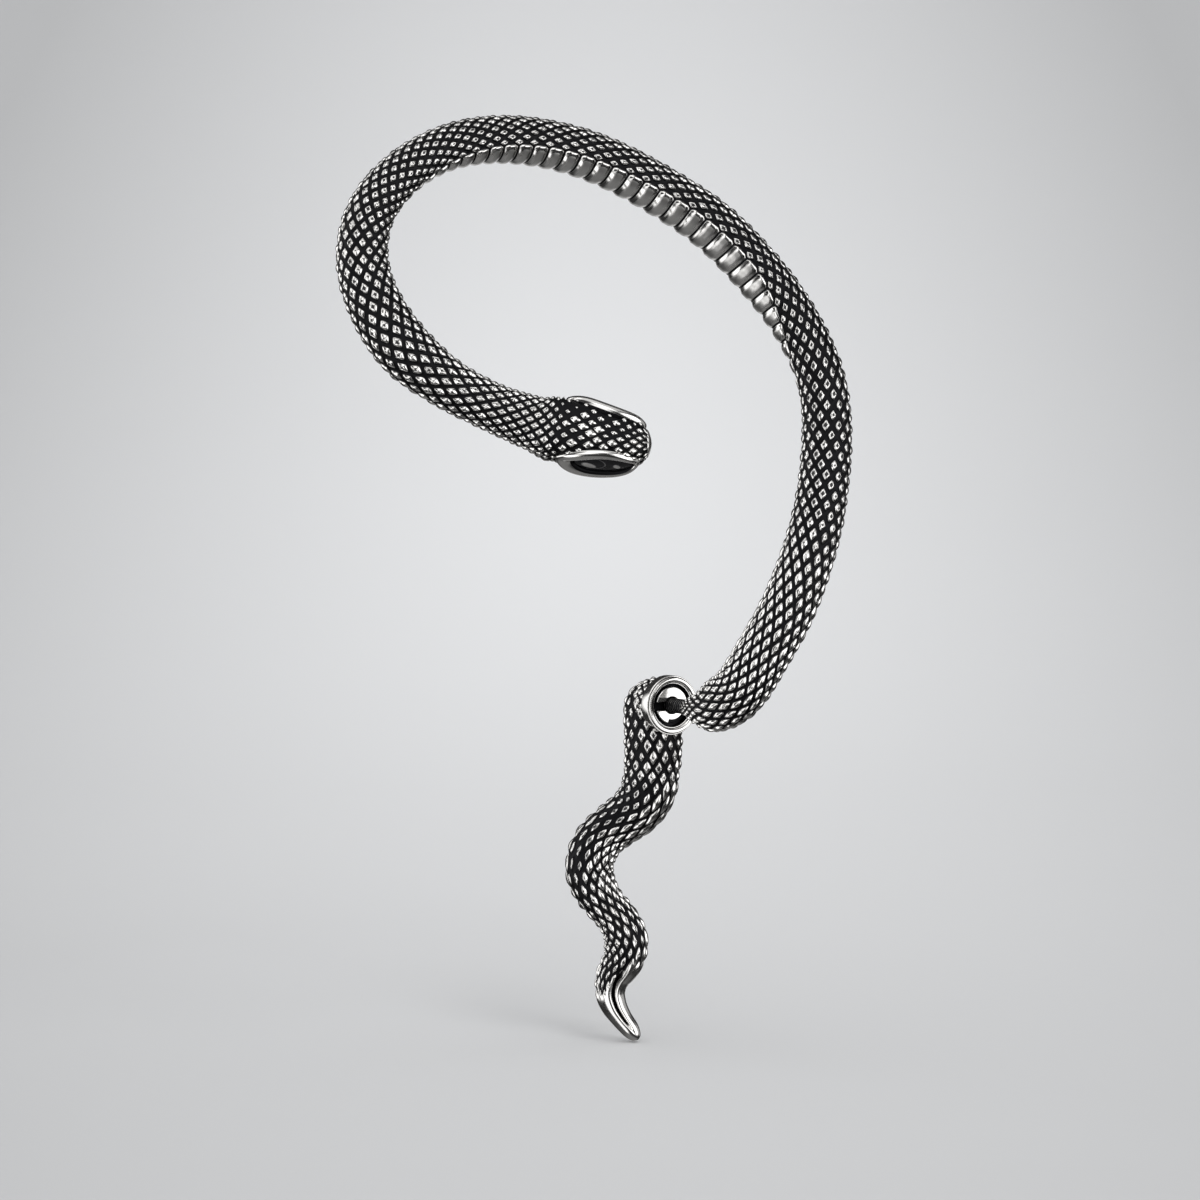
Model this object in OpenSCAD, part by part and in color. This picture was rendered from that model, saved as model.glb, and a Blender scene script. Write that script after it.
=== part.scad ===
// Snake ear climber: a cast steel snake hooks over the ear, its lower end carries a post
// through the lobe, and the snake's tail fastens on that post behind the lobe.
// Millimetres, +Z up. The wearer's ear is between the hook and the tail, the viewer is at -Y,
// and the origin is on the post, in the middle of the pierced lobe.

/* [Body] */
// Thickness of the hook's body where the table says 1
body_d = 4.2; // [3.4:0.1:5]
// Thickness of the tail where the table says 1
tail_d = 4.2; // [3.4:0.1:5]

/* [Scales] */
// Scales around the body, beside the belly
scales_around = 10; // [8:1:12]
// Depth of the grooves between the scales
scale_rise = 0.24; // [0.1:0.02:0.4]
// Half of the angle that the smooth belly plates take
belly_half = 46; // [36:1:60]

/* [Head] */
// How square the head is across, where 2 is an oval
head_square = 3.4; // [2:0.1:5]
// Length of the oval rim around the eye
rim_long = 6.6; // [6:0.1:7.5]
// Height of the oval rim
rim_high = 3.8; // [3:0.1:4.2]
// Length of the oval eye
eye_long = 4.6; // [3.5:0.1:5.5]
// Height of the oval eye
eye_high = 1.9; // [1:0.1:2.2]
// Distance of the eye before the middle of its rim
eye_ahead = 0.45; // [0:0.05:0.6]
// Height of the eye's polished dome
eye_dome = 0.3; // [0.1:0.05:0.6]
// Distance from the head's middle to the top of the rim
rim_out = 2.75; // [2.4:0.05:3.2]
// Depth of the eye's seat below the top of the rim
seat_deep = 0.5; // [0.3:0.05:0.8]
// Lean of the eyes toward the crown
eye_lean = 18; // [0:1:40]
// Distance of the eyes behind the head's middle
eye_back = 0.2; // [0:0.1:1]
// Angle at which the eyes close in toward the snout
eye_toe = 9; // [0:1:20]

/* [Post and clutch] */
// Turn of the post to the viewer's right
post_turn = 32; // [0:1:50]
// Rise of the post toward the viewer
post_rise = 4; // [0:1:15]
// Thickness of the post
post_d = 1.2; // [0.8:0.1:1.4]
// Room for the ear lobe between the hook's end and the collar
lobe_room = 3; // [2:0.1:5]
// Depth of the post in the hook's end
post_seat = 1.6; // [1:0.1:2.5]
// Length of the post past the collar's face
post_past = 4; // [3:0.1:5]
// Outer width of the collar
collar_d = 4.8; // [4:0.1:5.5]
// Length of the collar
collar_long = 1.1; // [1:0.05:1.5]
// Width of the tail's neck behind the collar
neck_d = 4.5; // [4:0.1:4.8]
// Width of the recess in the collar's face
recess_d = 3.5; // [3:0.1:4]
// Width of the clutch's round face
disc_d = 2.95; // [2.4:0.05:3.4]
// Radial gap of the parts that run in each other
run_gap = 0.04; // [0.02:0.01:0.1]

/* [Hidden] */
$fn = 64;

part_gap = 0.03;      // between pieces of one body that are pressed together
steel = [0.70, 0.70, 0.69];
dark_steel = [0.36, 0.36, 0.36];
black = [0.06, 0.06, 0.07];

// The way along the post, from the tail to the hook
post_way = [sin(post_turn) * cos(post_rise), -cos(post_turn) * cos(post_rise), sin(post_rise)];
hook_end = post_way * lobe_room / 2;
neck_long = 1.1;      // from the collar's back to where the tail's neck rounds off
tail_back = 2.9;      // from the collar's face to the middle of the tail
tail_top = -post_way * (lobe_room / 2 + tail_back) - [0.15, 0, 0.5];

// Columns of the tables: place, thickness as a part of body_d or tail_d, the part of it
// that the crown-to-belly height takes, the length of a scale, and the side that the
// belly lies on, as degrees from the viewer's side toward the inside of the loop.
X = 0; Y = 1; Z = 2; THICK = 3; FLAT = 4; PITCH = 5; BELLY = 6;

// The hook from its pierced end, up and over the ear, to the snout
hook_rows = [
    // x             y            z         thick flat pitch belly
    [hook_end[X], hook_end[Y], hook_end[Z], 0.45, 1.00, 1.0, 170],
    [  1.4,  -2.3,   0.2, 0.76, 1.00, 1.3, 170],
    [  2.6,  -3.4,   0.6, 1.03, 1.00, 1.7, 170],
    [  4.4,  -3.9,   2.0, 1.09, 1.00, 1.9, 169],
    [  6.3,  -3.7,   5.0, 1.09, 1.00, 2.0, 168],
    [  8.2,  -3.0,   8.4, 1.09, 1.00, 1.9, 165],
    [  9.8,  -2.0,  12.5, 1.06, 1.00, 1.8, 160],
    [ 10.9,  -0.7,  16.8, 1.02, 1.00, 1.6, 152],
    [ 11.4,   0.9,  22.1, 0.99, 1.00, 1.6, 138],
    [ 10.9,   2.2,  26.4, 0.96, 1.00, 1.7, 115],
    [  9.0,   3.4,  30.5, 0.98, 1.00, 1.5,  76],
    [  6.2,   4.1,  34.3, 1.02, 1.00, 1.5,  50],
    [  2.4,   4.1,  38.2, 1.02, 1.00, 1.6,  47],
    [ -2.0,   3.3,  41.2, 0.99, 1.00, 1.5,  50],
    [ -6.7,   1.8,  43.7, 0.97, 1.00, 1.5,  55],
    [-11.2,  -0.1,  45.1, 0.94, 1.00, 1.4,  58],
    [-15.4,  -2.2,  45.5, 0.92, 1.00, 1.3,  70],
    [-19.2,  -4.4,  44.8, 0.88, 1.00, 1.3,  98],
    [-22.4,  -6.6,  42.9, 0.89, 1.00, 1.3, 125],
    [-24.6,  -8.5,  40.0, 0.95, 1.00, 1.3, 142],
    [-25.1, -10.0,  36.5, 1.01, 1.00, 1.3, 155],
    [-24.0, -10.9,  33.0, 1.07, 1.00, 1.5, 163],
    [-21.7, -11.3,  29.7, 1.11, 1.00, 1.6, 168],
    [-18.6, -11.4,  27.2, 0.98, 1.00, 1.5, 174],
    [-15.3, -11.2,  25.4, 0.94, 1.00, 1.3, 182],
    [-12.1, -11.0,  24.1, 1.04, 0.98, 1.1, 194],
    [-10.4, -10.9,  23.6, 1.18, 0.93, 1.0, 202],
    [ -8.7, -10.9,  23.3, 1.16, 0.95, 1.0, 202],
    [ -6.7, -10.8,  22.9, 1.08, 1.02, 1.0, 202],
    [ -4.8, -10.8,  22.5, 0.98, 1.04, 0.9, 202],
    [ -3.6, -10.8,  22.4, 0.78, 1.04, 0.8, 202],
    [ -3.0, -10.8,  22.4, 0.50, 1.05, 0.6, 202],
];
snout = [-2.7, -10.8, 22.4];
head_row = 26;        // the row where the head begins
eye_row = 28;         // the row under the middle of the eyes

// The tail from behind the collar down to its point
tail_rows = [
    // x             y            z         thick flat pitch belly
    [tail_top[X], tail_top[Y], tail_top[Z], 1.16, 1.00, 1.8, 180],
    [ -2.4,   3.7,  -3.7, 1.16, 1.00, 1.7, 180],
    [ -2.5,   3.8,  -5.8, 1.12, 1.00, 1.6, 180],
    [ -2.8,   3.8,  -7.5, 1.11, 1.00, 1.5, 180],
    [ -3.6,   3.9,  -8.9, 1.06, 1.00, 1.5, 180],
    [ -4.9,   4.0, -10.0, 1.00, 1.00, 1.4, 180],
    [ -6.2,   4.1, -11.0, 0.97, 1.00, 1.4, 180],
    [ -7.2,   4.1, -12.3, 0.98, 1.00, 1.4, 180],
    [ -7.6,   4.1, -13.9, 0.97, 1.00, 1.3, 180],
    [ -7.2,   4.0, -15.5, 0.92, 1.00, 1.3, 180],
    [ -6.3,   3.9, -16.9, 0.83, 1.00, 1.2, 180],
    [ -5.3,   3.8, -18.1, 0.83, 1.00, 1.1, 180],
    [ -4.6,   3.7, -19.7, 0.89, 1.00, 1.1, 180],
    [ -4.8,   3.6, -21.3, 0.84, 1.00, 1.0, 180],
    [ -5.7,   3.5, -22.9, 0.70, 1.00, 1.0, 180],
    [ -5.9,   3.4, -24.1, 0.60, 1.00, 1.0, 180],
    [ -5.6,   3.3, -25.2, 0.52, 1.00, 1.0, 180],
    [ -5.0,   3.2, -26.2, 0.43, 1.00, 1.0, 180],
    [ -4.3,   3.1, -27.1, 0.37, 1.00, 0.9, 180],
    [ -3.8,   3.0, -27.8, 0.27, 1.00, 0.9, 180],
];
tail_point = [-3.6, 3.0, -28.1];
plain_row = 13;       // the row past which the tail is smooth

columns = 2 * scales_around + 3;

function unit(v) = v / norm(v);
function place(v) = [v[X], v[Y], v[Z]];
function row(rows, i) = rows[max(0, min(len(rows) - 1, i))];

// A smooth curve through b and c, with a and d as its neighbours
function curve(a, b, c, d, t) =
    0.5 * (2 * b + (c - a) * t + (2 * a - 5 * b + 4 * c - d) * t * t
    + (3 * b - a - 3 * c + d) * t * t * t);

function along(rows, u) =
    let (i = max(0, min(floor(u), len(rows) - 2)))
    curve(row(rows, i - 1), row(rows, i), row(rows, i + 1), row(rows, i + 2), u - i);

function heading(rows, u) =
    let (step = 0.05, a = max(0, u - step), b = min(len(rows) - 1, u + step))
    unit(place(along(rows, b)) - place(along(rows, a)));

// Pairs of the number of scales passed and the place in the table
function scale_count(rows) =
    let (steps = 12, last = (len(rows) - 1) * steps)
    [for (i = 0, u = 0, p = along(rows, 0), n = 0; i <= last;
          i = i + 1, u = i / steps, q = along(rows, u),
          n = n + norm(place(q) - place(p)) / q[PITCH], p = q) [n, u]];

// Places in the table, two for each row of scales
function half_rows(rows) =
    let (table = scale_count(rows), total = table[len(table) - 1][0], count = 2 * round(total))
    [for (k = [0:count]) lookup(total * k / count, table)];

function column_angle(c) =
    c < 2 ? (2 * c - 1) * belly_half / 3
          : belly_half + (c - 2) * (180 - belly_half) / scales_around;

function is_belly(c) = c < 2;
function is_edge(c) = c == 2 || c == columns - 1;

// How far a corner lies below the tops of the scales
function sink(k, c) =
    is_belly(c) ? (k % 2 == 0 ? 0.4 : 0)
    : is_edge(c) ? 1
    : ((k + c) % 2 == 0 ? 0 : 1);

// How much further a corner lies from the middle than on an oval
function bulge(a, square) =
    (abs(cos(a)) ^ square + abs(sin(a)) ^ square) ^ (-1 / square);

// One ring of corners around the place p, across the way t
function ring(p, t, belly, wide, flat, k, relief, square = 2) =
    let (front = unit([0, -1, 0] + t * t[Y]),
         under = front * cos(belly) + cross(front, t) * sin(belly),
         flank = cross(t, under))
    [for (c = [0:columns - 1])
        let (a = column_angle(c), r = wide / 2 * bulge(a, square) - relief * sink(k, c))
        p + (under * cos(a) * flat + flank * sin(a)) * r];

function table_ring(rows, d, u, k, relief, square = 2) =
    let (v = along(rows, u))
    ring(place(v), heading(rows, u), v[BELLY], v[THICK] * d, v[FLAT], k, relief, square);

// The two faces of one cell, folded along the groove between two scales
function cell(k, c) =
    let (n = (c + 1) % columns, a = k * columns + c, b = a + columns,
         d = k * columns + n, e = d + columns)
    (k + c) % 2 == 0 ? [[a, b, d], [b, e, d]] : [[a, b, e], [a, e, d]];

// A closed skin over rings of corners, with a point before the first and after the last
module skin(rings, first, last) {
    count = len(rings);
    corners = [for (r = rings, p = r) p];
    sides = [for (k = [0:count - 2], c = [0:columns - 1], f = cell(k, c)) f];
    lid = [for (c = [0:columns - 1]) [count * columns, c, (c + 1) % columns]];
    base = (count - 1) * columns;
    foot = [for (c = [0:columns - 1]) [count * columns + 1, base + (c + 1) % columns, base + c]];
    polyhedron(points = concat(corners, [first, last]), faces = concat(sides, lid, foot));
}

// Moves its children so that their +Z runs along the post, s past the origin
module on_post(s = 0) {
    rotate([90 - post_rise, 0, post_turn]) translate([0, 0, s]) children();
}

// The head's own directions at the eyes
head_way = heading(hook_rows, eye_row);
eye_mid = place(hook_rows[eye_row]) - head_way * eye_back;
head_front = unit([0, -1, 0] + head_way * head_way[Y]);
head_side = cross(head_front, head_way);
crown = -(head_front * cos(hook_rows[eye_row][BELLY]) + head_side * sin(hook_rows[eye_row][BELLY]));
cheek = cross(crown, head_way);

// An oval dish or lens beside the head: each profile row is the half length, the half
// height, the distance out from the head's middle and the distance ahead
module oval(side, profile) {
    sides = 28;
    long_way = head_way * cos(eye_toe) - cheek * side * sin(eye_toe);
    out0 = unit(cheek * side + head_way * tan(eye_toe));
    out = out0 * cos(eye_lean) + crown * sin(eye_lean);
    high_way = cross(out, long_way);
    rings = [for (p = profile) [for (i = [0:sides - 1])
        let (a = 360 * i / sides)
        eye_mid + long_way * (p[0] * cos(a) + p[3]) + high_way * p[1] * sin(a) + out * p[2]]];
    n = len(profile);
    walls = [for (k = [0:n - 2], i = [0:sides - 1])
        let (j = (i + 1) % sides, a = k * sides + i, b = k * sides + j)
        each [[a, a + sides, b], [b, a + sides, b + sides]]];
    caps = [for (i = [0:sides - 1]) each [
        [n * sides, i, (i + 1) % sides],
        [n * sides + 1, (n - 1) * sides + (i + 1) % sides, (n - 1) * sides + i]]];
    poles = [for (p = [profile[0], profile[n - 1]]) eye_mid + long_way * p[3] + out * p[2]];
    polyhedron(points = concat([for (r = rings, p = r) p], poles), faces = concat(walls, caps));
}

module eye_rim(side) {
    long = rim_long / 2;
    high = rim_high / 2;
    a = eye_long / 2;
    b = eye_high / 2;
    oval(side, [
        [long * 0.6, high * 0.6, rim_out - 1.5, 0],
        [long - 0.2, high - 0.1, rim_out - 0.9, 0],
        [long, high, rim_out - 0.35, 0],
        [long * 0.8 + a * 0.2, high * 0.8 + b * 0.2, rim_out - 0.08, eye_ahead * 0.2],
        [(long + a) / 2, (high + b) / 2, rim_out, eye_ahead / 2],
        [a + 0.05, b + 0.05, rim_out - 0.1, eye_ahead],
    ]);
}

// The room for one eye, cut out of the rim and the head
module eye_seat(side) {
    a = eye_long / 2;
    b = eye_high / 2;
    oval(side, [[a, b, rim_out - seat_deep, eye_ahead], [a, b, rim_out + 0.8, eye_ahead]]);
}

module eye(side) {
    a = eye_long / 2 - part_gap;
    b = eye_high / 2 - part_gap;
    seat = rim_out - seat_deep + part_gap;
    oval(side, concat([[a, b, seat, eye_ahead]],
        [for (t = [0:20:80])
            [a * cos(t), b * cos(t), rim_out - 0.3 + eye_dome * sin(t), eye_ahead]]));
}

module ear_hook() {
    body = half_rows(hook_rows);
    hole_d = post_d + 4 * part_gap;
    end_belly = hook_rows[0][BELLY];
    hole = [for (s = [post_seat, 0])
        ring(hook_end + post_way * s, post_way, end_belly, hole_d, 1, 0, 0)];
    rings = [for (k = [0:len(body) - 1])
        let (u = body[k], head = max(0, min(1, u - head_row + 1)))
        table_ring(hook_rows, body_d, u, k,
                   scale_rise * (u < 1 ? 0.4 : u > head_row ? 0.5 : 1),
                   2 + (head_square - 2) * head)];
    color(dark_steel) difference() {
        union() {
            skin(concat(hole, rings), hook_end + post_way * post_seat, snout);
            eye_rim(1);
            eye_rim(-1);
        }
        eye_seat(1);
        eye_seat(-1);
    }
}

module eye_left() {
    color(black) eye(1);
}

module eye_right() {
    color(black) eye(-1);
}

module lobe_post() {
    from = -lobe_room / 2 - post_past;
    to = lobe_room / 2 + post_seat - part_gap;
    color(steel) on_post(from) cylinder(h = to - from, d = post_d);
}

// Places along the post, measured from the collar's face
face = -lobe_room / 2;
disc_in = 0.2;
disc_thick = 0.45;
recess_deep = 0.75;
sleeve_d = 2.2;
flange_d = 2.8;
flange_thick = 0.4;

module grip_clutch() {
    sleeve_from = -collar_long - part_gap - flange_thick;
    slot_w = 0.9;
    notch_w = 1.3;
    color(steel) difference() {
        union() {
            on_post(face - disc_in - disc_thick) cylinder(h = disc_thick, d = disc_d);
            on_post(face + sleeve_from)
                cylinder(h = -disc_in - disc_thick / 2 - sleeve_from, d = sleeve_d);
            on_post(face + sleeve_from) cylinder(h = flange_thick, d = flange_d);
        }
        on_post(face + sleeve_from - 1) cylinder(h = 2 - sleeve_from, d = post_d + 2 * run_gap);
        on_post(face - disc_in - disc_thick) translate([-disc_d, -slot_w / 2, disc_thick * 0.3])
            cube([disc_d, slot_w, disc_thick]);
        on_post(face - disc_in - disc_thick) rotate([0, 0, -55])
            translate([disc_d * 0.36, -notch_w / 2, -disc_thick / 2])
            cube([disc_d, notch_w, disc_thick * 2]);
    }
}

module socket_collar() {
    lip = 0.2;
    color(steel) on_post(face) rotate_extrude()
        polygon([
            [sleeve_d / 2 + run_gap, -collar_long],
            [collar_d / 2, -collar_long],
            [collar_d / 2, -lip],
            [collar_d / 2 - lip, 0],
            [recess_d / 2 + lip / 2, 0],
            [recess_d / 2, -lip / 2],
            [recess_d / 2, -recess_deep],
            [sleeve_d / 2 + run_gap, -recess_deep],
        ]);
}

module tail_drop() {
    body = half_rows(tail_rows);
    way = heading(tail_rows, 0);
    top_d = tail_rows[0][THICK] * tail_d;
    dome = [for (i = [0:3])
        let (t = 12 + 21 * i)
        ring(tail_top - way * cos(t) * top_d / 2, way, 180, top_d * sin(t), 1, i, scale_rise * sin(t))];
    rings = [for (k = [0:len(body) - 1])
        table_ring(tail_rows, tail_d, body[k], k, body[k] > plain_row ? 0 : scale_rise)];
    back = face - collar_long - part_gap;
    well_d = flange_d + 0.3;
    well_deep = flange_thick + 0.3;
    hole_d = post_d + 0.5;
    hole_deep = post_past + 0.4;
    color(dark_steel) difference() {
        union() {
            skin(concat(dome, rings), tail_top - way * top_d / 2, tail_point);
            on_post(back - neck_long) cylinder(h = neck_long, d = neck_d);
            on_post(back - neck_long) sphere(d = neck_d);
        }
        on_post(back) cylinder(h = 3, d = collar_d + 1);
        on_post(back - well_deep) cylinder(h = well_deep + 1, d = well_d);
        on_post(face - hole_deep) cylinder(h = hole_deep, d = hole_d);
    }
}

ear_hook();
eye_left();
eye_right();
lobe_post();
grip_clutch();
socket_collar();
tail_drop();
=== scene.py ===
"""Snake ear climber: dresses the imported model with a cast, oxidised steel skin.

The snake's body and tail are tubes carried along smooth paths, with diamond scales, belly
plates and oxide in their grooves. Lengths in the tables are millimetres, and every mesh is
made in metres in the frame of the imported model.
"""
import math
from functools import partial

import bpy
import numpy as np
from bpy.props import FloatProperty, FloatVectorProperty, IntProperty, PointerProperty
from bpy.types import Operator, Panel, PropertyGroup
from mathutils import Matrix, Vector


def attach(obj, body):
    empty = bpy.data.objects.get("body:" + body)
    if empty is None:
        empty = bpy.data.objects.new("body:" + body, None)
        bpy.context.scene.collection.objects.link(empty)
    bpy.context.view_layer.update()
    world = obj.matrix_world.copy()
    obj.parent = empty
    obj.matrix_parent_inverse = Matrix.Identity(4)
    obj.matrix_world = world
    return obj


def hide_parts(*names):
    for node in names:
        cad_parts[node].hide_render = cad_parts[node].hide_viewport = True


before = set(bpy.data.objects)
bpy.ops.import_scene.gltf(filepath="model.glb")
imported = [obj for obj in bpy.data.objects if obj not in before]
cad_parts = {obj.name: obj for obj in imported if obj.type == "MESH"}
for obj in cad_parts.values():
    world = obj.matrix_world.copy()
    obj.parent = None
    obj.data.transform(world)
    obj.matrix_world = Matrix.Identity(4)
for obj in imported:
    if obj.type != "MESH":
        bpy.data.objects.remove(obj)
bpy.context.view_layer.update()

bl_info = {
    "name": "Snake ear climber",
    "version": (1, 0, 0),
    "blender": (4, 5, 0),
    "location": "3D View > Sidebar > Ear climber",
    "description": "Builds the skin, head, clasp and tail of a snake ear climber",
    "category": "Add Mesh",
}

MM = 0.001

# Fields of a plain polished place: height, inside, front and chance
BARE = [1.0, 0.4, 1.0, 0.0]

# Columns of the two path tables after the place, and those of the table of grooves,
# painted pits and belly
THICK, FLAT, PITCH, BELLY = range(3, 7)
ROW, GROOVE, PAINTED_PIT, WIDTH = range(4)

# The way along the post, from the tail to the hook, and two ways across it
POST_TURN = math.radians(32)
POST_RISE = math.radians(4)
POST_WAY = np.array([
    math.sin(POST_TURN) * math.cos(POST_RISE),
    -math.cos(POST_TURN) * math.cos(POST_RISE),
    math.sin(POST_RISE),
])
POST_RIGHT = np.array([math.cos(POST_TURN), math.sin(POST_TURN), 0.0])
POST_UP = np.cross(POST_WAY, POST_RIGHT)

# Lengths along the post: the room for the lobe, the gap between pieces, the way from the
# collar's face to the tail's top, and how far the hook's pierced end is drawn out
LOBE_ROOM = 3.0
COLLAR_FACE = -LOBE_ROOM / 2
PART_GAP = 0.03
TAIL_BACK = 2.9
END_DRAWN = 1.35
HOOK_END = POST_WAY * LOBE_ROOM / 2
TAIL_TOP = -POST_WAY * (LOBE_ROOM / 2 + TAIL_BACK) - np.array([0.15, 0, 0.5])

# The hook from its pierced end, up and over the ear, to the snout: place, thickness as a
# part of the body's, crown-to-belly height as a part of the width, the length of a scale,
# and the side that the belly lies on, in degrees from the viewer's side toward the inside
HOOK_ROWS = np.array([
    [*(HOOK_END - POST_WAY * END_DRAWN), 0.26, 1.00, 0.9, 170],
    [1.4, -2.3, 0.2, 0.72, 1.00, 0.9, 170],
    [2.6, -3.4, 0.6, 1.03, 1.00, 1.1, 170],
    [4.4, -3.9, 2.0, 1.09, 1.00, 1.4, 169],
    [6.3, -3.7, 5.0, 1.09, 1.00, 1.8, 168],
    [8.2, -3.0, 8.4, 1.09, 1.00, 1.9, 165],
    [9.8, -2.0, 12.5, 1.06, 1.00, 1.8, 160],
    [10.9, -0.7, 16.8, 1.02, 1.00, 1.6, 152],
    [11.4, 0.9, 22.1, 0.99, 1.00, 1.6, 138],
    [10.9, 2.2, 26.4, 0.96, 1.00, 1.7, 115],
    [9.0, 3.4, 30.5, 0.98, 1.00, 1.5, 76],
    [6.2, 4.1, 34.3, 1.02, 1.00, 1.5, 50],
    [2.4, 4.1, 38.2, 1.02, 1.00, 1.6, 47],
    [-2.0, 3.3, 41.2, 0.99, 1.00, 1.5, 50],
    [-6.7, 1.8, 43.7, 0.97, 1.00, 1.5, 55],
    [-11.2, -0.1, 45.1, 0.94, 1.00, 1.4, 58],
    [-15.4, -2.2, 45.5, 0.92, 1.00, 1.3, 70],
    [-19.2, -4.4, 44.8, 0.88, 1.00, 1.3, 98],
    [-22.4, -6.6, 42.9, 0.89, 1.00, 1.3, 125],
    [-24.6, -8.5, 40.0, 0.95, 1.00, 1.3, 142],
    [-25.1, -10.0, 36.5, 1.01, 1.00, 1.3, 155],
    [-24.0, -10.9, 33.0, 1.07, 1.00, 1.5, 163],
    [-21.7, -11.3, 29.7, 1.11, 1.00, 1.6, 168],
    [-18.6, -11.4, 27.2, 0.98, 1.00, 1.5, 174],
    [-15.3, -11.2, 25.4, 0.94, 1.00, 1.3, 182],
    [-12.1, -11.0, 24.1, 1.04, 0.98, 1.0, 194],
    [-10.4, -10.9, 23.6, 1.18, 0.93, 1.0, 202],
    [-8.7, -10.9, 23.3, 1.16, 0.95, 1.2, 202],
    [-6.7, -10.8, 22.9, 1.08, 1.02, 1.3, 202],
    [-4.8, -10.8, 22.5, 0.98, 1.04, 1.1, 202],
    [-3.6, -10.8, 22.4, 0.78, 1.04, 0.9, 202],
    [-3.0, -10.8, 22.4, 0.50, 1.05, 0.9, 202],
    [-2.75, -10.8, 22.4, 0.20, 1.05, 0.9, 202],
])
HOOK_ENDS = [HOOK_END - POST_WAY * (END_DRAWN + 0.1), [-2.7, -10.8, 22.4]]

# Places in that table, and the share of the way around at which the crown lies
NECK_ROW = 25.2
HEAD_ROW = 26
NARROW_ROW = 26.3
EYE_ROW = 28
SNOUT_ROW = 30.75
CROWN_SHARE = 0.62

# Along the hook: place in the table, groove's part of a scale, the size of the dark pits
# painted in the scales' middles as painted dark reflection, and the belly's width as a part
# of the setting
HOOK_SURFACE_ROWS = np.array([
    [0.0, 0.46, 0.00, 1.35],
    [1.5, 0.34, 0.00, 1.35],
    [4.0, 0.33, 0.05, 1.40],
    [5.5, 0.37, 0.30, 1.15],
    [7.0, 0.43, 0.90, 0.60],
    [8.5, 0.46, 1.00, 0.40],
    [9.5, 0.46, 1.00, 0.60],
    [11.0, 0.44, 0.90, 1.00],
    [13.0, 0.43, 0.75, 1.10],
    [17.0, 0.42, 0.75, 1.05],
    [19.0, 0.42, 0.70, 0.60],
    [21.0, 0.40, 0.60, 0.50],
    [23.0, 0.37, 0.40, 0.70],
    [25.0, 0.36, 0.35, 1.15],
    [26.8, 0.36, 0.30, 1.45],
    [28.0, 0.36, -0.10, 1.45],
    [31.0, 0.34, -0.20, 1.45],
])

# The tail from behind the collar down to its point: place, thickness and the length of a
# scale, and the two columns that stay the same
TAIL_ROWS = np.insert([
    [*TAIL_TOP, 1.16, 1.8],
    [-2.4, 3.7, -3.7, 1.16, 1.7],
    [-2.5, 3.8, -5.8, 1.12, 1.7],
    [-2.8, 3.8, -7.5, 1.11, 1.8],
    [-3.6, 3.9, -8.9, 1.06, 1.9],
    [-4.9, 4.0, -10.0, 1.00, 1.9],
    [-6.2, 4.1, -11.0, 0.97, 1.9],
    [-7.2, 4.1, -12.3, 0.98, 1.9],
    [-7.6, 4.1, -13.9, 0.97, 1.8],
    [-7.2, 4.0, -15.5, 0.92, 1.8],
    [-6.3, 3.9, -16.9, 0.83, 1.8],
    [-5.3, 3.8, -18.1, 0.83, 1.7],
    [-4.6, 3.7, -19.7, 0.89, 1.7],
    [-4.8, 3.6, -21.3, 0.84, 1.6],
    [-5.7, 3.5, -22.9, 0.70, 1.5],
    [-5.9, 3.4, -24.1, 0.60, 1.4],
    [-5.6, 3.3, -25.2, 0.52, 1.2],
    [-5.0, 3.2, -26.2, 0.43, 1.1],
    [-4.3, 3.1, -27.1, 0.37, 1.0],
    [-3.65, 3.0, -27.98, 0.29, 0.9],
], [PITCH - 1, PITCH], [1.0, 180.0], axis=1)
TAIL_POINT = np.array([-3.62, 3.0, -28.04])
SMOOTH_ROW = 12.6
TAIL_BELLY = 1.15

# How much the tail's gaps vary, which way its scales lie, and the seed of their tables
TAIL_SCALES = {"vary": 0.26, "lay": 1, "seed": 11}

# How far a belly plate reaches into the scale beside it, in half scales
PLATE_OVER = 0.45

# The eyes, in millimetres: lower than the head's middle, the depth of their seats under the
# rim's top, the swell under their painted highlights and the sink of the rims' ends.
# EYE_ROOM is the square of the seat's size as a part of the eye's
EYE_LOW = 0.28
EYE_DEEP = 0.55
EYE_SWELL = 0.06
RIM_SINK = 0.35
EYE_ROOM = 1.25

# How far the post goes back behind the collar's face and into the hook, and its grooves
POST_BACK = 4.0
POST_IN = 1.5
POST_PITCH = 0.28

# Keeps a phase that should be whole from rounding down
PHASE_SLACK = 1e-6

# Looks: the scale, detail, roughness and distortion of the specks, the oxide's roughness,
# the satin added to the plates, and depths of bumps in metres
SPECK = (2600, 4, 0.65, 0.4)
OXIDE_ROUGH = 0.5
PLATE_SATIN = 0.17
GRAIN_DEEP = 0.00003
HOLLOW_DEEP = 0.00006

# A pool of light painted on the paper, darker outward from its middle: parts of the
# distances in metres, the shift to its middle with how soft that is, its height, its fall
# and the least that it falls to
PAINTED_POOL_PART = (16.1, 4.04, 0.0)
PAINTED_POOL_SHIFT = (0.109, -1.082, 0.353)
PAINTED_POOL_HIGH = 1.559
PAINTED_POOL_FALL = 0.422
PAINTED_POOL_LEAST = 0.84

# Kinds of setting: lengths in metres, angles in radians and colours
Length = partial(FloatProperty, subtype="DISTANCE", unit="LENGTH")
Angle = partial(FloatProperty, subtype="ANGLE", unit="ROTATION")
Colour = partial(FloatVectorProperty, subtype="COLOR", size=3, min=0, max=1)


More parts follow.
